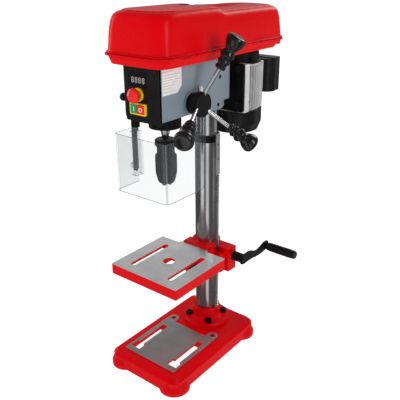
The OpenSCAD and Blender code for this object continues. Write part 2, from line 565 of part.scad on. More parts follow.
// cone angle of the sheave flanges leaves the belt 12 wide at its running radius
module spindle_sheave() { color([0.55, 0.55, 0.57]) F() translate([0, sy, 0]) difference() {
  rotate_extrude() polygon([[0, 650], [10.5, 650], [10.5, 672.3], [13, 673.6], [13, 718], [0, 718]]);
  vc(0, 0, 640, 720, 7.0);
} 
  color([0.55, 0.55, 0.57]) F() translate([0, sy, 0]) rotate_extrude() polygon([[12.9, belt_z + 0.6], [54, belt_z + 8.6],
    [54, belt_z + 11], [20, belt_z + 14], [12.9, belt_z + 14]]); }
module spindle_sheave_half() { color([0.5, 0.5, 0.52]) F() translate([0, sy, 0]) difference() {
  rotate_extrude() polygon([[0, belt_z - 0.6], [13.2, belt_z - 0.6], [54, belt_z - 8.6], [54, belt_z - 11], [20, belt_z - 13.6], [0, belt_z - 13.6]]);
  vc(0, 0, 600, 800, 13.05);
} }
module motor_sheave() { color([0.55, 0.55, 0.57]) F() translate([0, motor_y, 0]) difference() {
  rotate_extrude() polygon([[0, 664], [10, 664], [10, belt_z - 14], [22, belt_z - 12], [38, belt_z - 10.4], [38, belt_z - 8.4],
    [12, belt_z - 3.4], [11, belt_z - 3.4], [11, 716], [0, 716]]);
  vc(0, 0, 600, 712, 7.02);
} }
module motor_sheave_half() { color([0.5, 0.5, 0.52]) F() translate([0, motor_y, 0]) difference() {
  rotate_extrude() polygon([[0, belt_z + 3.4], [12, belt_z + 3.4], [38, belt_z + 8.4], [38, belt_z + 10.4], [20, belt_z + 13], [0, belt_z + 13]]);
  vc(0, 0, 600, 800, 11.05);
} }

// ---------------------------------------------------------------- motor
mr = motor_d / 2;
module motor_plate() { color(black) F() difference() {
  translate([0, 42, 0]) rotate([90, 0, 0]) linear_extrude(5.8) rr(-65, 65, 535, 632, 5);
  for (x = [-55, 55], z = [551, 622]) yc(x, 30, 50, z, 4.06);
} }
module motor_bolts() { color([0.25, 0.25, 0.26]) F() for (x = [-55, 55], z = [551, 622]) translate([x, 0, z]) union() {
  yc(0, 36, 66, 0, 4);
  translate([0, 36.2, 0]) rotate([90, 0, 0]) hex(13, 5.4);
  yc(0, 34.8, 36.2, 0, 8);
  translate([0, 66, 0]) rotate([90, 0, 0]) hex(13, 6);
} }
module motor_housing() { color(steel) F() difference() {
  union() {
    vc(0, motor_y, 527, 624, mr - 6);
    translate([0, motor_y, 531]) linear_extrude(89) polygon(gear_pts(52, mr - 3, 3, 4, 0.8));
    for (x = [-1, 1]) bx(x > 0 ? 42 : -64, x > 0 ? 64 : -42, 42, 59.9, 533, 630);
    for (x = [-1, 1]) bx(x > 0 ? 30 : -46, x > 0 ? 46 : -30, 52, 70, 533, 622);
    bx(-34, 34, motor_y + mr - 14, motor_y + mr - 1, 560, 622);
  }
  vc(0, motor_y, 520, 545, mr - 11);
  vc(0, motor_y, 605, 640, mr - 11);
  // bore through the stator pack
  vc(0, motor_y, 500, 700, 31);
  for (x = [-55, 55], z = [551, 622]) yc(x, 30, 70, z, 4.06);
} }
module motor_end_bell() { color(black) F() translate([0, motor_y, 0]) difference() {
  rotate_extrude() polygon([[0, 624.02], [52, 624.02], [52, 627], [48.5, 629], [48, 645], [45, 649], [28, 650.5], [0, 650.5]]);
  vc(0, 0, 600, 644, 40);
  vc(0, 0, 600, 660, 7.6);
  for (a = [20:40:340]) rotate(a) translate([44, 0, 633]) cube([20, 9, 4], center = true);
} }
module fan_cover() { color(black) F() translate([0, motor_y, 0]) difference() {
  rotate_extrude() polygon([[0, 479], [47, 479], [50, 480.5], [56.5, 497], [57, 500], [57, 526.98], [0, 526.98]]);
  rotate_extrude() polygon([[0, 481.5], [46, 481.5], [48.4, 482.5], [54.4, 498], [54.6, 530], [0, 530]]);
  for (a = [0:30:330]) rotate(a) translate([18, -2, 470]) cube([24, 4, 20]);
} }
module motor_rotor() { color([0.5, 0.5, 0.52]) F() translate([0, motor_y, 0]) union() {
  vc(0, 0, 490, 712, 7);
  vc(0, 0, 546, 604, 30.4);
  vc(0, 0, 494, 500, 20);
  for (a = [0:45:315]) rotate(a) translate([18, -1, 494]) cube([26, 2, 24]);
} }
module capacitor_box() { color(black) F() union() {
  slab(-34, 34, motor_y + mr - 0.9, motor_y + mr + 16, 3, 556, 624);
  vc(30, motor_y + mr + 18, 553.5, 625, 21);
  slab(-34, 52, motor_y + mr + 12, motor_y + mr + 40, 6, 555, 626.5);
} }

// ---------------------------------------------------------------- guard
gp = [-57, -148];
module guard_clamp() { color(black) F() difference() {
  union() {
    vc(0, sy, 532, 551, 31);
    hull() { vc(-24, sy - 8, 538, 551, 9, $fn = 32); vc(gp[0], gp[1], 538, 551, 8, $fn = 32); }
    vc(gp[0], gp[1], 527, 552, 8.5);
    bx(-6, 6, sy + 27, sy + 38, 534, 549);
  }
  vc(0, sy, 500, 600, 27.05);
  vc(gp[0], gp[1], 500, 560, 4.06);
  bx(-1.2, 1.2, sy + 20, sy + 45, 500, 600);
} }
module guard_bar() { color([0.6, 0.6, 0.6]) F() union() {
  vc(gp[0], gp[1], 520, 556, 4);
  vc(gp[0], gp[1], 552.3, 555.8, 7);
  translate([gp[0], gp[1], 439]) linear_extrude(87.6) polygon([[-5, -6.5], [5, -6.5], [5, -4], [-2.5, -4], [-2.5, 6.5], [-5, 6.5]]);
  vc(gp[0], gp[1], 519, 526.6, 5.6);
} }
gz0 = 410.5;
guard_y0 = -200;                  // front face
guard_y1 = -97;                   // right rear edge
gz1 = 524;
module guard_shield() { color([0.85, 0.9, 0.92, 0.35]) F() difference() {
  union() {
    translate([0, 0, gz0]) linear_extrude(gz1 - gz0) difference() {
      rr(-guard_w / 2, guard_w / 2, guard_y0, -50, 12);
      rr(-guard_w / 2 + guard_t, guard_w / 2 - guard_t, guard_y0 + guard_t, -53, 12 - guard_t);
      translate([-100, guard_y1]) square([200, 100]);
      translate([-100, -138]) square([100, 100]);
    }
    // outward flange on the right rear edge
    bx(guard_w / 2 - 3, guard_w / 2 + 7, guard_y1 - 2.6, guard_y1, gz0 + 6, gz1 - 3);
    // channel that holds the hanging bar
    bx(-guard_w / 2 + 1, -49.4, -159.5, -138, 430, 518);
    xc(-guard_w / 2 - 7, -guard_w / 2 + 1, -148, 446, 5);
  }
  bx(-62.6, -51.6, -154.9, -141.1, 425, 530);
  xc(-guard_w / 2 - 8, -60, -148, 446, 2);
} }

base();
column_flange();
flange_bolts();
column();
head();
head_screws();
control_panel();
display_window();
estop_collar();
switch_frame();
rating_plate();
depth_pointer();
belt_tray();
lid_hinge_pins();
spring_cap();
return_spring();
pulley_bearings();
guard_clamp();
motor_plate();
motor_bolts();
motor_housing();
speed_lever();
motor_end_bell();
fan_cover();
capacitor_box();
drive_belt();
rack();
rack_collar();
table_bracket();
tilt_bolt();
table();
lift_gear();
worm_shaft();
crank_arm();
crank_handle();
lock_lever();
quill();
quill_bearings();
spindle();
chuck_body();
chuck_sleeve();
jaw_1();
jaw_2();
jaw_3();
feed_pinion();
feed_hub();
feed_spokes();
feed_grips();
depth_ring();
motor_rotor();
motor_sheave();
motor_sheave_half();
spindle_sheave();
spindle_sheave_half();
lid();
estop_button();
start_button();
stop_button();
guard_bar();
guard_shield();
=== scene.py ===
import bpy
import bmesh
import json
import math
from mathutils import Vector, Matrix, Euler


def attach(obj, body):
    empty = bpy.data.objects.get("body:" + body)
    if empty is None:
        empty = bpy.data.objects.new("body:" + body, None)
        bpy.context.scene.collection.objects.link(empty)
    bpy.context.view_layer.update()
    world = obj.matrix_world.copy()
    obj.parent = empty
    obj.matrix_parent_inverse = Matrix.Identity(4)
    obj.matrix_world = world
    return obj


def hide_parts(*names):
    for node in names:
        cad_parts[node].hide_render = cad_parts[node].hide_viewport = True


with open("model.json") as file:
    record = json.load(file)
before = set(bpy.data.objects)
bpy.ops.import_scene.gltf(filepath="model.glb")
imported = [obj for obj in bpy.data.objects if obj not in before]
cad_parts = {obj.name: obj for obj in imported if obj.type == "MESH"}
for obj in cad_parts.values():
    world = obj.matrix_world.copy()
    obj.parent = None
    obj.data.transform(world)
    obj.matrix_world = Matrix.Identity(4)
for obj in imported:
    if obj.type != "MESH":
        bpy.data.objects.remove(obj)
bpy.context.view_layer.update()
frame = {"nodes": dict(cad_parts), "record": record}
nodes = frame["nodes"]
scene = bpy.context.scene
CY = 0.052          # column axis, row frame
SPY = -0.075        # spindle axis
MOY = 0.155         # motor axis


# ------------------------------------------------------------------ shader helpers
class Tree:
    def __init__(self, name):
        self.m = bpy.data.materials.new(name)
        self.m.use_nodes = True
        self.nt = self.m.node_tree
        self.nt.nodes.clear()
        self.out = self.add("ShaderNodeOutputMaterial")
        self.tc = self.add("ShaderNodeTexCoord")
        self.co = self.tc.outputs["Object"]

    def add(self, kind, **kw):
        n = self.nt.nodes.new(kind)
        for k, v in kw.items():
            setattr(n, k, v)
        return n

    def link(self, a, b):
        self.nt.links.new(a, b)

    def put(self, sock, v):
        if hasattr(v, "is_output"):
            self.link(v, sock)
        else:
            sock.default_value = v

    def scaled(self, sx, sy, sz):
        n = self.add("ShaderNodeMapping")
        n.inputs["Scale"].default_value = (sx, sy, sz)
        self.link(self.co, n.inputs["Vector"])
        return n.outputs["Vector"]

    def noise(self, scale, detail=3.0, rough=0.5, co=None):
        n = self.add("ShaderNodeTexNoise")
        n.inputs["Scale"].default_value = scale
        n.inputs["Detail"].default_value = detail
        n.inputs["Roughness"].default_value = rough
        self.link(co or self.co, n.inputs["Vector"])
        return n.outputs["Fac"]

    def voronoi(self, scale, co=None):
        n = self.add("ShaderNodeTexVoronoi")
        n.inputs["Scale"].default_value = scale
        self.link(co or self.co, n.inputs["Vector"])
        return n.outputs["Distance"]

    def ramp(self, fac, stops):
        n = self.add("ShaderNodeValToRGB")
        e = n.color_ramp.elements
        while len(e) < len(stops):
            e.new(0.5)
        for i, (p, c) in enumerate(stops):
            e[i].position = p
            e[i].color = (c, c, c, 1) if not isinstance(c, tuple) else (c + (1,) if len(c) == 3 else c)
        self.link(fac, n.inputs["Fac"])
        return n.outputs["Color"]

    def range(self, v, a, b, c, d):
        n = self.add("ShaderNodeMapRange")
        for k, x in zip(("From Min", "From Max", "To Min", "To Max"), (a, b, c, d)):
            n.inputs[k].default_value = x
        self.link(v, n.inputs["Value"])
        return n.outputs["Result"]

    def math(self, op, a, b=0.0):
        n = self.add("ShaderNodeMath", operation=op)
        self.put(n.inputs[0], a)
        self.put(n.inputs[1], b)
        return n.outputs[0]

    def mixc(self, fac, a, b):
        n = self.add("ShaderNodeMix", data_type="RGBA")
        self.put(n.inputs["Factor"], fac)
        self.put(n.inputs[6], a if not isinstance(a, tuple) else a + (1,) * (4 - len(a)))
        self.put(n.inputs[7], b if not isinstance(b, tuple) else b + (1,) * (4 - len(b)))
        return n.outputs[2]

    def bump(self, height, strength, dist, normal=None):
        n = self.add("ShaderNodeBump")
        n.inputs["Strength"].default_value = strength
        n.inputs["Distance"].default_value = dist
        self.link(height, n.inputs["Height"])
        if normal is not None:
            self.link(normal, n.inputs["Normal"])
        return n.outputs["Normal"]

    def round_edges(self, r, samples=4):
        n = self.add("ShaderNodeBevel", samples=samples)
        n.inputs["Radius"].default_value = r
        return n.outputs["Normal"]

    def bsdf(self, color, rough, metallic=0.0, normal=None, coat=0.0, coat_rough=0.1, spec=0.5):
        b = self.add("ShaderNodeBsdfPrincipled")
        self.put(b.inputs["Base Color"], color if not isinstance(color, tuple) else color + (1,) * (4 - len(color)))
        self.put(b.inputs["Roughness"], rough)
        b.inputs["Metallic"].default_value = metallic
        b.inputs["Specular IOR Level"].default_value = spec
        b.inputs["Coat Weight"].default_value = coat
        b.inputs["Coat Roughness"].default_value = coat_rough
        if normal is not None:
            self.link(normal, b.inputs["Normal"])
        return b.outputs["BSDF"]

    def mask_zone(self, z0, z1, up=True):
        """1 on faces that look up (or down) and lie between two heights at rest."""
        s = self.add("ShaderNodeSeparateXYZ")
        self.link(self.co, s.inputs[0])
        n = self.add("ShaderNodeSeparateXYZ")
        self.link(self.tc.outputs["Normal"], n.inputs[0])
        a = self.math("GREATER_THAN", s.outputs[2], z0)
        b = self.math("LESS_THAN", s.outputs[2], z1)
        c = self.math("GREATER_THAN", n.outputs[2], 0.9) if up else self.math("LESS_THAN", n.outputs[2], -0.9)
        return self.math("MULTIPLY", self.math("MULTIPLY", a, b), c)

    def mix(self, fac, a, b):
        n = self.add("ShaderNodeMixShader")
        self.put(n.inputs[0], fac)
        self.link(a, n.inputs[1])
        self.link(b, n.inputs[2])
        return n.outputs[0]

    def done(self, shader):
        self.link(shader, self.out.inputs["Surface"])
        return self.m


def c3(c, k):
    return tuple(min(1.0, v * k) for v in c)


def paint_shader(t, col, rough, coat, peel, casting, edge, spec=0.5):
    broad = t.noise(9, 4, 0.6)
    fine = t.noise(150, 5, 0.6)
    skin = t.noise(900, 2, 0.5)
    color = t.ramp(broad, [(0.25, c3(col, 0.90)), (0.75, c3(col, 1.06))])
    speck = t.ramp(t.noise(520, 6, 0.75), [(0.70, 0.0), (0.78, 1.0)])
    color = t.mixc(t.math("MULTIPLY", speck, 0.10), color, c3(col, 0.55))
    r = t.range(fine, 0.25, 0.75, rough - 0.06, rough + 0.07)
    nrm = t.round_edges(edge)
    if casting > 0:
        nrm = t.bump(t.noise(210, 5, 0.65), casting, 0.0006, nrm)
    nrm = t.bump(skin, peel, 0.00012, nrm)
    return t.bsdf(color, r, 0.0, nrm, coat, 0.06, spec)


def paint(name, col, rough=0.30, coat=0.25, peel=0.12, casting=0.0, edge=0.0008, spec=0.14):
    t = Tree(name)
    return t.done(paint_shader(t, col, rough, coat, peel, casting, edge, spec))


def machined_shader(t, col, rough, direction, edge=0.0004):
    """Ground or milled metal: fine lines along one axis, cloudy stains, a few scratches."""
    s = {"x": (6, 900, 900), "y": (900, 6, 900), "z": (900, 900, 5)}[direction]
    lines = t.noise(1.0, 3, 0.6, t.scaled(*s))
    lines2 = t.noise(1.0, 2, 0.5, t.scaled(*[v * 0.27 for v in s]))
    cloud = t.noise(24, 5, 0.62)
    k = t.ramp(cloud, [(0.28, c3(col, 0.80)), (0.72, c3(col, 1.12))])
    color = t.mixc(t.range(lines, 0.3, 0.7, 0.0, 0.35), k, c3(col, 0.70))
    scr = t.ramp(t.noise(1.0, 5, 0.8, t.scaled(260, 34, 34) if direction != "x" else t.scaled(34, 260, 34)), [(0.66, 0.0), (0.70, 1.0)])
    color = t.mixc(t.math("MULTIPLY", scr, 0.25), color, c3(col, 1.5))
    r = t.range(lines2, 0.2, 0.8, rough - 0.07, rough + 0.09)
    nrm = t.bump(lines, 0.22, 0.00006, t.round_edges(edge))
    return t.bsdf(color, r, 1.0, nrm)


def machined(name, col, rough=0.3, direction="z", edge=0.0004):
    t = Tree(name)
    return t.done(machined_shader(t, col, rough, direction, edge))


def plastic(name, col, rough=0.42, grain=0.25, grain_scale=1400, coat=0.0, edge=0.0006, spec=0.2):
    t = Tree(name)
    broad = t.noise(30, 4, 0.6)
    color = t.ramp(broad, [(0.3, c3(col, 0.85)), (0.7, c3(col, 1.15))])
    dust = t.ramp(t.noise(700, 5, 0.7), [(0.66, 0.0), (0.80, 1.0)])
    color = t.mixc(t.math("MULTIPLY", dust, 0.10), color, tuple(min(1, v + 0.10) for v in col))
    r = t.range(t.noise(90, 4, 0.6), 0.25, 0.75, rough - 0.07, rough + 0.07)
    nrm = t.bump(t.noise(grain_scale, 2, 0.5), grain, 0.00012, t.round_edges(edge))
    return t.done(t.bsdf(color, r, 0.0, nrm, coat, 0.08, spec))


RED = (0.70, 0.0006, 0.004)
GREY = (0.22, 0.275, 0.315)
BLACK = (0.012, 0.012, 0.013)



def chrome():
    t = Tree("chrome")
    cloud = t.noise(60, 4, 0.6)
    color = t.ramp(cloud, [(0.3, (0.50, 0.50, 0.515)), (0.7, (0.60, 0.60, 0.61))])
    pits = t.ramp(t.noise(900, 5, 0.7), [(0.66, 0.0), (0.76, 1.0)])
    color = t.mixc(t.math("MULTIPLY", pits, 0.15), color, (0.25, 0.25, 0.26))
    r = t.range(t.noise(140, 3, 0.5), 0.3, 0.7, 0.07, 0.15)
    return t.done(t.bsdf(color, r, 1.0, t.bump(cloud, 0.02, 0.0001, t.round_edges(0.0003))))


M = {}
M["red_sheet"] = paint("red_sheet", RED, 0.30, 0.02, 0.04, 0.0, 0.0009, 0.07)
M["red_paint"] = paint("red_paint", RED, 0.34, 0.01, 0.10, 0.20, 0.0012, 0.08)
M["grey_paint"] = paint("grey_paint", GREY, 0.36, 0.12, 0.10, 0.18, 0.0012)
M["black_cast"] = paint("black_cast", (0.006, 0.006, 0.0065), 0.32, 0.01, 0.12, 0.25, 0.0009, 0.10)
M["chuck_black"] = paint("chuck_black", (0.010, 0.010, 0.0105), 0.32, 0.03, 0.08, 0.0, 0.0005, 0.12)
M["black_plastic"] = plastic("black_plastic", (0.007, 0.007, 0.0075), 0.30, 0.12, 1100, 0.03)
M["panel_plastic"] = plastic("panel_plastic", (0.008, 0.008, 0.0085), 0.42, 0.40, 1500)
M["grip_plastic"] = plastic("grip_plastic", (0.006, 0.006, 0.0065), 0.17, 0.05, 700, 0.12, 0.0006, 0.35)
M["yellow_plastic"] = plastic("yellow_plastic", (0.90, 0.62, 0.01), 0.34, 0.08, 900, 0.1)
M["start_green"] = plastic("start_green", (0.01, 0.30, 0.09), 0.34, 0.08, 900, 0.1)
M["stop_red"] = plastic("stop_red", (0.78, 0.02, 0.012), 0.30, 0.06, 900, 0.2)
M["black_oxide"] = machined("black_oxide", (0.035, 0.035, 0.038), 0.38, "z")
M["bright_steel"] = machined("bright_steel", (0.50, 0.50, 0.51), 0.30, "x")
M["zinc_steel"] = machined("zinc_steel", (0.46, 0.46, 0.47), 0.34, "z")
M["ground_steel"] = machined("ground_steel", (0.60, 0.60, 0.62), 0.20, "x")
M["jaw_steel"] = machined("jaw_steel", (0.20, 0.20, 0.21), 0.34, "z")
M["spring_steel"] = machined("spring_steel", (0.16, 0.17, 0.20), 0.30, "x")
M["chrome"] = chrome()
M["motor_aluminium"] = plastic("motor_aluminium", (0.56, 0.56, 0.565), 0.38, 0.25, 700, 0.10, 0.0005, 0.6)
M["sheave_aluminium"] = machined("sheave_aluminium", (0.52, 0.52, 0.54), 0.30, "x")
M["belt_rubber"] = plastic("belt_rubber", (0.012, 0.012, 0.012), 0.72, 0.6, 600)
M["window_glass"] = plastic("window_glass", (0.006, 0.006, 0.007), 0.10, 0.02, 500, 0.5)


def column_steel():
    t = Tree("column_steel")
    lines = t.noise(1.0, 3, 0.6, t.scaled(500, 500, 3))
    rings = t.noise(1.0, 2, 0.6, t.scaled(20, 20, 1300))
    cloud = t.noise(12, 5, 0.6)
    col = (0.50, 0.50, 0.515)
    color = t.ramp(cloud, [(0.3, c3(col, 0.86)), (0.7, c3(col, 1.10))])
    color = t.mixc(t.range(lines, 0.35, 0.65, 0.0, 0.22), color, c3(col, 0.66))
    r = t.range(rings, 0.25, 0.75, 0.15, 0.27)
    nrm = t.bump(rings, 0.15, 0.00004, t.round_edges(0.0004))
    nrm = t.bump(lines, 0.10, 0.00005, nrm)
    return t.done(t.bsdf(color, r, 1.0, nrm))


M["column_steel"] = column_steel()


def plate_metal():
    t = Tree("plate_metal")
    col = (0.78, 0.78, 0.76)
    color = t.ramp(t.noise(40, 4, 0.6), [(0.3, c3(col, 0.93)), (0.7, c3(col, 1.04))])
    smudge = t.ramp(t.noise(260, 5, 0.7), [(0.62, 0.0), (0.75, 1.0)])
    color = t.mixc(t.math("MULTIPLY", smudge, 0.15), color, c3(col, 0.7))
    r = t.range(t.noise(70, 3, 0.5), 0.3, 0.7, 0.28, 0.42)
    return t.done(t.bsdf(color, r, 0.0, t.bump(t.noise(900, 2, 0.5), 0.06, 0.0001)))


M["plate_metal"] = plate_metal()


# flat matte marks: used for print, and for the painted shade of the tray slots
def ink(name, col):
    t = Tree(name)
    color = t.ramp(t.noise(300, 4, 0.6), [(0.3, c3(col, 0.85)), (0.7, c3(col, 1.1))])
    r = t.range(t.noise(400, 3, 0.5), 0.3, 0.7, 0.35, 0.5)
    return t.done(t.bsdf(color, r, 0.0, t.bump(t.noise(900, 2, 0.5), 0.05, 0.0001)))


M["ink_grey"] = ink("ink_grey", (0.42, 0.43, 0.45))
M["ink_white"] = ink("ink_white", (0.90, 0.90, 0.90))
# painted shade: near-black strips standing in for the shade inside the tray slots
M["ink_dark"] = ink("ink_dark", (0.02, 0.02, 0.022))
M["digit"] = ink("digit", (0.74, 0.75, 0.76))


def two_zone(name, zones, paint_col, casting, plate_col=(0.30, 0.30, 0.305), rough=0.36):
    """Painted casting with machined seats: zones is a list of (z0, z1)."""
    t = Tree(name)
    p = paint_shader(t, paint_col, 0.34, 0.01, 0.10, casting, 0.0012, 0.08)
    s = machined_shader(t, plate_col, rough, "x", 0.0003)
    mask = None
    for z0, z1 in zones:
        k = t.mask_zone(z0, z1)
        mask = k if mask is None else t.math("MAXIMUM", mask, k)
    return t.done(t.mix(mask, p, s))


M["base_mix"] = two_zone("base_mix", [(0.0385, 0.0395)], RED, 0.20, (0.44, 0.44, 0.445), 0.42)
M["table_mix"] = two_zone("table_mix", [(0.2435, 0.2445)], RED, 0.16, (0.93, 0.93, 0.935), 0.40)


def clear_guard():
    """Clear sheet: it lets light through, mirrors at a glance, and has painted shade on its cut and bent edges, where
    light bending in the sheet darkens them; the cut rim is also a real frosted edge.
    """
    t = Tree("clear_guard")
    clear = t.add("ShaderNodeBsdfTransparent")
    clear.inputs["Color"].default_value = (0.938, 0.943, 0.945, 1)
    nrm = t.bump(t.noise(60, 3, 0.5), 0.05, 0.0002)
    gloss = t.add("ShaderNodeBsdfGlossy")
    gloss.inputs["Color"].default_value = (0.9, 0.93, 0.95, 1)
    t.put(gloss.inputs["Roughness"], t.range(t.noise(90, 4, 0.6), 0.3, 0.7, 0.03, 0.09))
    t.link(nrm, gloss.inputs["Normal"])
    lw = t.add("ShaderNodeLayerWeight")
    lw.inputs["Blend"].default_value = 0.5
    edge_on = t.math("MULTIPLY", t.math("POWER", lw.outputs["Facing"], 5.0), 0.5)
    body = t.mix(t.math("ADD", edge_on, 0.03), clear.outputs[0], gloss.outputs[0])
    haze = t.bsdf((0.60, 0.61, 0.62), 0.30, 0.0, nrm, 0.0, 0.1, 0.2)
    scuff = t.ramp(t.noise(1.0, 5, 0.75, t.scaled(60, 60, 240)), [(0.58, 0.0), (0.75, 1.0)])
    body = t.mix(t.range(scuff, 0.0, 1.0, 0.03, 0.08), body, haze)
    n = t.add("ShaderNodeSeparateXYZ")
    t.link(t.tc.outputs["Normal"], n.inputs[0])
    rim = t.math("GREATER_THAN", t.math("ABSOLUTE", n.outputs[2]), 0.9)
    # painted shade: bent edges and the outer rim are painted darker, standing in for light bent inside the sheet (the
    # cut rim is partly a real frosted edge); normals there differ from the flat sheet's
    flat = t.math("MAXIMUM", t.math("ABSOLUTE", n.outputs[0]), t.math("ABSOLUTE", n.outputs[1]))
    bend_shade = t.ramp(flat, [(0.74, 1.0), (0.86, 0.0)])
    k = t.math("MAXIMUM", t.math("MULTIPLY", rim, 0.62), t.math("MULTIPLY", bend_shade, 0.28))
    # painted shade: a dark grey copy of the sheet laid on the rim and the bends
    edge_shade_bsdf = t.bsdf((0.20, 0.22, 0.235), 0.25, 0.0, nrm, 0.0, 0.1, 0.3)
    return t.done(t.mix(k, body, edge_shade_bsdf))


M["clear_guard"] = clear_guard()

# ------------------------------------------------------------------ CAD nodes get their materials
SLOT = {s["node"]: s["material_slot"] for s in frame["record"]["subparts"]}
SPECIAL = {"base": "base_mix", "table": "table_mix", "feed_grips": "grip_plastic"}


def dress(o, mat):
    o.data.materials.clear()
    o.data.materials.append(mat)
    for p in o.data.polygons:
        p.material_index = 0


for name, o in nodes.items():
    dress(o, M[SPECIAL.get(name) or SLOT.get(name) or "black_plastic"])


# ------------------------------------------------------------------ mesh helpers
def make(name, verts, faces, mat, body, smooth=35.0):
    me = bpy.data.meshes.new(name)
    me.from_pydata([tuple(v) for v in verts], [], faces)
    bm = bmesh.new()
    bm.from_mesh(me)
    bmesh.ops.recalc_face_normals(bm, faces=bm.faces)
    bm.to_mesh(me)
    bm.free()
    o = bpy.data.objects.new(name, me)
    scene.collection.objects.link(o)
    me.materials.append(M[mat])
    if smooth:
        for p in me.polygons:
            p.use_smooth = True
        me.set_sharp_from_angle(angle=math.radians(smooth))
    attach(o, body)
    return o


def loft(name, rings, mat, body, caps=(True, True), smooth=35.0):
    n = len(rings[0])
    verts = [p for r in rings for p in r]
    faces = []
    for k in range(len(rings) - 1):
        for i in range(n):
            j = (i + 1) % n
            faces.append((k * n + i, k * n + j, (k + 1) * n + j, (k + 1) * n + i))
    if caps[0]:
        faces.append(tuple(range(n - 1, -1, -1)))
    if caps[1]:
        faces.append(tuple((len(rings) - 1) * n + i for i in range(n)))
    return make(name, verts, faces, mat, body, smooth)


def spline(pts, k=4):
    out = []
    n = len(pts)
    for i in range(n - 1):
        p0 = pts[max(i - 1, 0)]
        p1, p2 = pts[i], pts[i + 1]
        p3 = pts[min(i + 2, n - 1)]
        for s in range(k):
            u = s / k
            out.append(tuple(0.5 * ((2 * b) + (c - a) * u + (2 * a - 5 * b + 4 * c - d) * u * u + (3 * b - a - 3 * c + d) * u ** 3)
                             for a, b, c, d in zip(p0, p1, p2, p3)))
    out.append(pts[-1])
    return out


def turned(name, profile, origin, axis, mat, body, seg=56, smooth=35.0):
    """Profile of (radius, distance along axis); ends are closed."""
    axis = Vector(axis).normalized()
    up = Vector((0, 0, 1)) if abs(axis.z) < 0.9 else Vector((1, 0, 0))
    a = axis.cross(up).normalized()
    b = axis.cross(a).normalized()
    o = Vector(origin)
    rings = []
    for r, d in profile:
        r = max(r, 1e-5)
        rings.append([o + axis * d + (a * math.cos(2 * math.pi * i / seg) + b * math.sin(2 * math.pi * i / seg)) * r for i in range(seg)])
    return loft(name, rings, mat, body, (True, True), smooth)


def box(name, lo, hi, mat, body, bevel=0.0, segs=3):
    x0, y0, z0 = lo
    x1, y1, z1 = hi
    v = [(x0, y0, z0), (x1, y0, z0), (x1, y1, z0), (x0, y1, z0), (x0, y0, z1), (x1, y0, z1), (x1, y1, z1), (x0, y1, z1)]
    f = [(0, 3, 2, 1), (4, 5, 6, 7), (0, 1, 5, 4), (1, 2, 6, 5), (2, 3, 7, 6), (3, 0, 4, 7)]
    o = make(name, v, f, mat, body, 30.0)
    if bevel:
        m = o.modifiers.new("bevel", "BEVEL")
        m.width = bevel
        m.segments = segs
        m.limit_method = "ANGLE"
    return o


def rounded(x0, x1, y0, y1, r, z, k=10):
    """Outline of a rounded rectangle at height z (z may be a function of x, y)."""
    pts = []
    for cx, cy, a0 in ((x1 - r, y1 - r, 0), (x0 + r, y1 - r, 90), (x0 + r, y0 + r, 180), (x1 - r, y0 + r, 270)):
        for i in range(k + 1):
            a = math.radians(a0 + 90 * i / k)
            pts.append((cx + r * math.cos(a), cy + r * math.sin(a)))
    out = []
    n = len(pts)
    for i in range(n):
        p, q = pts[i], pts[(i + 1) % n]
        out.append(p)
        d = math.hypot(q[0] - p[0], q[1] - p[1])
        m = 24 if abs(q[1] - p[1]) > abs(q[0] - p[0]) else 10
        if i % (k + 1) == k:
            for s in range(1, m):
                u = s / m
                out.append((p[0] + (q[0] - p[0]) * u, p[1] + (q[1] - p[1]) * u))
    return [Vector((x, y, z(x, y) if callable(z) else z)) for x, y in out]


# ------------------------------------------------------------------ belt cover lid
mm = 0.001


def top_at(y):
    """Height of the lid's crown along the machine, column-centred millimetres: high in front, stepped down behind."""
    u = min(1.0, max(0.0, (y + 40.0) / 20.0))
    u = u * u * (3 - 2 * u)
    return 746.2 - 8.0 * u


LID_Z0 = 671.9
PROFILE = [(0.0, 0.035), (0.8, 0.20), (1.7, 0.40), (2.8, 0.58), (4.0, 0.70), (5.6, 0.80), (7.6, 0.865), (10.2, 0.905), (13.0, 0.930), (15.4, 0.945),
           (16.2, 0.950), (16.7, 0.962), (17.4, 0.969), (18.8, 0.972), (24.0, 0.979), (33.0, 0.988), (44.0, 0.995), (57.0, 1.0)]
rings = []
for inset, z in ((-3.2, 671.95), (-3.2, 674.0), (-2.6, 674.5), (-1.0, 674.7), (-0.2, 675.0)):
    r = rounded(-71 + inset, 71 - inset, -209 + inset, 181 - inset, 27 - inset, z)
    rings.append([Vector((p.x * mm, p.y * mm + CY, p.z * mm)) for p in r])
for inset, h in PROFILE:
    front = inset * (1.0 if inset < 18 else 1.6) - (0 if inset < 18 else 10.8)
    rear = inset * 0.7
    side = inset
    rad = min(27 + inset * 0.75, 70 - side - 0.5)
    r = rounded(-71 + side, 71 - side, -209 + front, 181 - rear, max(rad, 6.0),
                lambda x, y, h=h: LID_Z0 + (top_at(y) - LID_Z0) * h)
    rings.append([Vector((p.x * mm, p.y * mm + CY, p.z * mm)) for p in r])
lid = loft("lid_shell", rings, "red_sheet", "cover", (False, True), 50.0)
sol = lid.modifiers.new("wall", "SOLIDIFY")
sol.thickness = 0.0024
sol.offset = -1.0
sol.use_even_offset = True
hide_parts("lid")
for i, y in enumerate((-120, 90)):
    turned(f"lid_knuckle_{i}", [(0.0021, 0), (0.0045, 0.0), (0.0045, 0.016), (0.0021, 0.016)], (-0.0795, (y - 8) * mm + CY, 0.6745), (0, 1, 0),
           "red_sheet", "cover", 32)
    box(f"lid_leaf_{i}", (-0.0795, (y - 7.9) * mm + CY, 0.6737), (-0.0712, (y + 7.9) * mm + CY, 0.6773), "red_sheet", "cover", 0.0006)

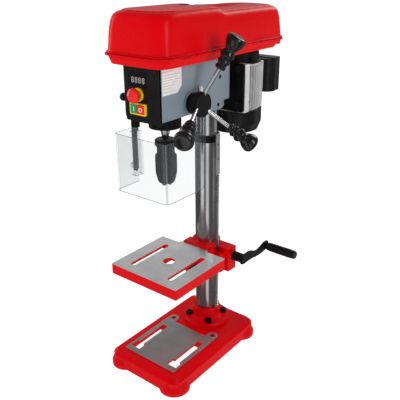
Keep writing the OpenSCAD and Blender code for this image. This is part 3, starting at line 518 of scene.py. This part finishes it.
# ------------------------------------------------------------------ feed grips, turned smooth
GRIP = [(4.1, 76.2), (8.2, 76.2), (9.5, 77.4), (10.0, 80.0), (8.8, 83.4), (8.9, 85.4), (10.9, 88.2), (11.7, 90.6), (10.2, 94.2), (9.9, 96.4),
        (12.2, 99.6), (13.9, 103.0), (13.2, 106.6), (10.8, 110.6), (10.4, 113.6), (12.2, 117.4), (15.0, 122.0), (17.0, 127.4), (17.9, 132.4),
        (17.3, 136.6), (15.4, 139.4), (12.6, 140.5), (9.6, 140.2), (5.0, 139.6), (0.02, 139.5)]
for k in range(3):
    a = math.radians(75.3 - 90 - k * 120)
    lean = math.radians(90 - 63.5)
    # the spoke's own axis: local +Z tipped towards +X, then turned about X
    d = Vector((math.sin(lean), 0, math.cos(lean)))
    d.rotate(Euler((a, 0, 0)))
    o = turned(f"grip_{k}", [(r * mm, s * mm) for r, s in spline(GRIP, 4)], (0.059, -0.0475, 0.578), d, "grip_plastic", "feed", 64, 40.0)
    if k == 0:
        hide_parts("feed_grips")

# ------------------------------------------------------------------ display digits, all segments
PY = -187.5 + 52.0                # panel face, row millimetres
SEG = {"a": (0.5, 1.0, 0), "g": (0.5, 0.5, 0), "d": (0.5, 0.0, 0), "f": (0.0, 0.75, 1), "b": (1.0, 0.75, 1), "e": (0.0, 0.25, 1), "c": (1.0, 0.25, 1)}
verts, faces = [], []
for i in range(4):
    x0 = -21.9 + i * 8.5
    w, h = 4.3, 9.0
    for key, (u, v, up) in SEG.items():
        cx, cz = x0 + u * w, 622.6 + v * h
        L, T = (h / 2 - 0.8, 0.42) if up else (w - 0.8, 0.42)
        ring = [(-L / 2, 0), (-L / 2 + T, T), (L / 2 - T, T), (L / 2, 0), (L / 2 - T, -T), (-L / 2 + T, -T)]
        b = len(verts)
        for yy in (PY + 0.05, PY + 0.30):
            for p, q in ring:
                X, Z = (q, p) if up else (p, q)
                verts.append(((cx + X + (cz + Z - 622.6) * 0.06) * mm, yy * mm, (cz + Z) * mm))
        faces.append(tuple(b + j for j in range(6)))
        faces.append(tuple(b + 6 + j for j in range(5, -1, -1)))
        for j in range(6):
            faces.append((b + j, b + 6 + j, b + 6 + (j + 1) % 6, b + (j + 1) % 6))
digits = make("display_digits", verts, faces, "digit", "frame", 0)

# ------------------------------------------------------------------ marks on the switches
box("mark_on", (-0.0155, (-187.5 - 5.9 + 52) * mm, 0.5722), (-0.0143, (-187.5 - 5.5 + 52) * mm, 0.5806), "ink_white", "start", 0.0002)


def ring_mark(name, c, r0, r1, y0, y1, mat, body, seg=40):
    rr = []
    for r, y in ((r0, y0), (r1, y0), (r1, y1), (r0, y1)):
        rr.append([Vector((c[0] + r * math.cos(2 * math.pi * i / seg), y, c[1] + r * math.sin(2 * math.pi * i / seg))) for i in range(seg)])
    rr.append(rr[0])
    n = seg
    v = [p for r in rr[:4] for p in r]
    f = []
    for k in range(4):
        for i in range(n):
            j = (i + 1) % n
            k2 = (k + 1) % 4
            f.append((k * n + i, k * n + j, k2 * n + j, k2 * n + i))
    return make(name, v, f, mat, body, 40)


ring_mark("mark_off", (0.0025, 0.5764), 0.0029, 0.0040, (-187.5 - 6.7 + 52) * mm, (-187.5 - 6.3 + 52) * mm, "ink_white", "stop")

# ------------------------------------------------------------------ blank rating plate: ruled lines only
x = 0.0416
k = 0
for z, y0, y1 in ((643.5, -176, -146), (637.8, -176, -130), (633.2, -176, -138), (628.6, -176, -150), (628.6, -146, -130), (624.0, -176, -156),
                  (624.0, -152, -134), (619.4, -176, -144), (614.6, -176, -152), (608.8, -176, -160), (608.8, -157, -143)):
    box(f"plate_rule_{k}", (x - 0.0001, (y0 + 52) * mm, (z - 0.45) * mm), (x + 0.00012, (y1 + 52) * mm, (z + 0.45) * mm), "ink_grey", "frame")
    k += 1

# ------------------------------------------------------------------ thin pressed slots low on the belt tray, drawn as flat dark strips: painted shade of the slot recesses
for i, (ya, yb) in enumerate(((-0.108, -0.094), (-0.092, -0.079), (0.151, 0.162), (0.163, 0.174))):
    box(f"tray_slot_{i}", (0.0708, ya, 0.6660), (0.0712, yb, 0.6669), "ink_dark", "frame")

# ------------------------------------------------------------------ panel and case screws
for i, (sx, sz) in enumerate(((-36.5, 645.5), (36.5, 645.5), (-36.5, 566.0), (36.5, 566.0))):
    yy = (-187.5 - (0.8 if sx > 16 else 0.0) + 52) * mm
    turned(f"panel_screw_{i}", [(0.0002, -0.0011), (0.0016, -0.0011), (0.0026, -0.0007), (0.0029, 0.0), (0.0029, 0.0006), (0.0002, 0.0006)],
           (sx * mm, yy, sz * mm), (0, 1, 0), "black_oxide", "frame", 24)

# ------------------------------------------------------------------ studio
floor = bpy.data.meshes.new("floor")
S = 40.0
floor.from_pydata([(-S, -S, 0), (S, -S, 0), (S, S, 0), (-S, S, 0)], [], [(0, 1, 2, 3)])
floor_o = bpy.data.objects.new("floor", floor)
scene.collection.objects.link(floor_o)
t = Tree("studio_floor")
fl = t.bsdf(t.ramp(t.noise(3, 3, 0.5), [(0.3, (0.30, 0.30, 0.30)), (0.7, (0.33, 0.33, 0.33))]), t.range(t.noise(20, 3, 0.5), 0.3, 0.7, 0.55, 0.65), 0.0,
            t.bump(t.noise(500, 2, 0.5), 0.03, 0.0002))
glow = t.add("ShaderNodeEmission")
glow.inputs["Color"].default_value = (1.0, 1.0, 1.0, 1)
glow.inputs["Strength"].default_value = 0.93
both = t.add("ShaderNodeAddShader")
t.link(fl, both.inputs[0])
t.link(glow.outputs[0], both.inputs[1])
floor.materials.append(t.done(both.outputs[0]))
floor_o.visible_glossy = False      # polished metal mirrors the studio, not the floor

world = bpy.data.worlds.new("studio")
scene.world = world
world.use_nodes = True
wt = world.node_tree
bg = wt.nodes["Background"]


def wnode(kind, **kw):
    n = wt.nodes.new(kind)
    for k, v in kw.items():
        setattr(n, k, v)
    return n


def wmath(op, a, b=0.0):
    n = wnode("ShaderNodeMath", operation=op)
    for sock, v in zip(n.inputs, (a, b)):
        if hasattr(v, "is_output"):
            wt.links.new(v, sock)
        else:
            sock.default_value = v
    return n.outputs[0]


def wramp(fac, stops, ease="EASE"):
    n = wnode("ShaderNodeValToRGB")
    n.color_ramp.interpolation = ease
    e = n.color_ramp.elements
    while len(e) < len(stops):
        e.new(0.5)
    for i, (p, c) in enumerate(stops):
        e[i].position = p
        e[i].color = (c, c, c, 1)
    wt.links.new(fac, n.inputs["Fac"])
    return n.outputs["Color"]


wtc = wnode("ShaderNodeTexCoord")
wsep = wnode("ShaderNodeSeparateXYZ")
wt.links.new(wtc.outputs["Generated"], wsep.inputs[0])
azimuth = wmath("ARCTAN2", wsep.outputs[1], wsep.outputs[0])
turn = wmath("ADD", wmath("DIVIDE", azimuth, 2 * math.pi), 0.5)
# soft boxes and dark gaps of a studio, seen only in mirror-like metal below the horizon
bands = wramp(turn, [(0.0, 0.05), (0.185, 0.05), (0.205, 0.62), (0.28, 0.56), (0.30, 0.05), (0.335, 0.05), (0.355, 0.58), (0.415, 0.52), (0.435, 0.06),
                     (0.59, 0.06), (0.62, 0.26), (0.69, 0.24), (0.72, 0.05), (1.0, 0.05)])
bands = wmath("MULTIPLY", bands, 2.0)
sky = wramp(wsep.outputs[2], [(0.0, 0.26), (0.30, 0.26), (0.62, 0.20), (1.0, 0.16)])
# a broad soft box behind the machine, which the level machined faces mirror
box_az = wramp(turn, [(0.72, 0.0), (0.78, 1.0), (0.93, 1.0), (0.98, 0.0)])
box_el = wramp(wsep.outputs[2], [(0.10, 0.0), (0.24, 1.0), (0.60, 1.0), (0.74, 0.0)])
sky = wmath("ADD", sky, wmath("MULTIPLY", wmath("MULTIPLY", box_az, box_el), 0.30))
up = wramp(wmath("ADD", wmath("MULTIPLY", wsep.outputs[2], 4.0), 0.5), [(0.35, 0.0), (0.65, 1.0)])
wmix = wnode("ShaderNodeMix", data_type="FLOAT")
wt.links.new(up, wmix.inputs[0])
wt.links.new(bands, wmix.inputs[2])
wt.links.new(sky, wmix.inputs[3])
bg.inputs[0].default_value = (1.0, 1.0, 1.0, 1)
# the studio wall itself is plain white where the lens sees it above the floor
path = wnode("ShaderNodeLightPath")
wall = wnode("ShaderNodeMix", data_type="FLOAT")
wt.links.new(path.outputs["Is Camera Ray"], wall.inputs[0])
wt.links.new(wmix.outputs[0], wall.inputs[2])
wall.inputs[3].default_value = 1.0
wt.links.new(wall.outputs[0], bg.inputs[1])


def area(name, loc, target, size, power, size_y=None):
    L = bpy.data.lights.new(name, "AREA")
    L.energy = power
    L.size = size
    if size_y:
        L.shape = "RECTANGLE"
        L.size_y = size_y
    o = bpy.data.objects.new(name, L)
    scene.collection.objects.link(o)
    o.location = loc
    o.rotation_euler = (Vector(target) - Vector(loc)).to_track_quat("-Z", "Y").to_euler()
    return o


key = area("key", (-0.7, -2.0, 1.9), (0, -0.02, 0.4), 0.8, 24)
key.visible_glossy = False
area("right", (2.2, -0.2, 1.3), (0, 0, 0.4), 0.5, 20, 1.5)
area("back", (0.2, 2.2, 1.9), (0, 0, 0.5), 1.0, 18)
area("strip_left", (-1.8, -0.5, 0.8), (0, 0, 0.35), 0.3, 9, 1.6)

cam_data = bpy.data.cameras.new("camera")
cam = bpy.data.objects.new("camera", cam_data)
scene.collection.objects.link(cam)
cam.location = (0.6962, -0.8512, 0.8229)
cam.rotation_euler = (math.radians(67.2), 0.0, math.radians(37.63))
cam_data.sensor_width = 36.0
cam_data.lens = 51.24
cam_data.shift_x = -0.0157
cam_data.shift_y = -0.005
cam_data.clip_start = 0.01
cam_data.clip_end = 60
scene.camera = cam
scene.view_settings.view_transform = "Standard"
scene.view_settings.look = "None"
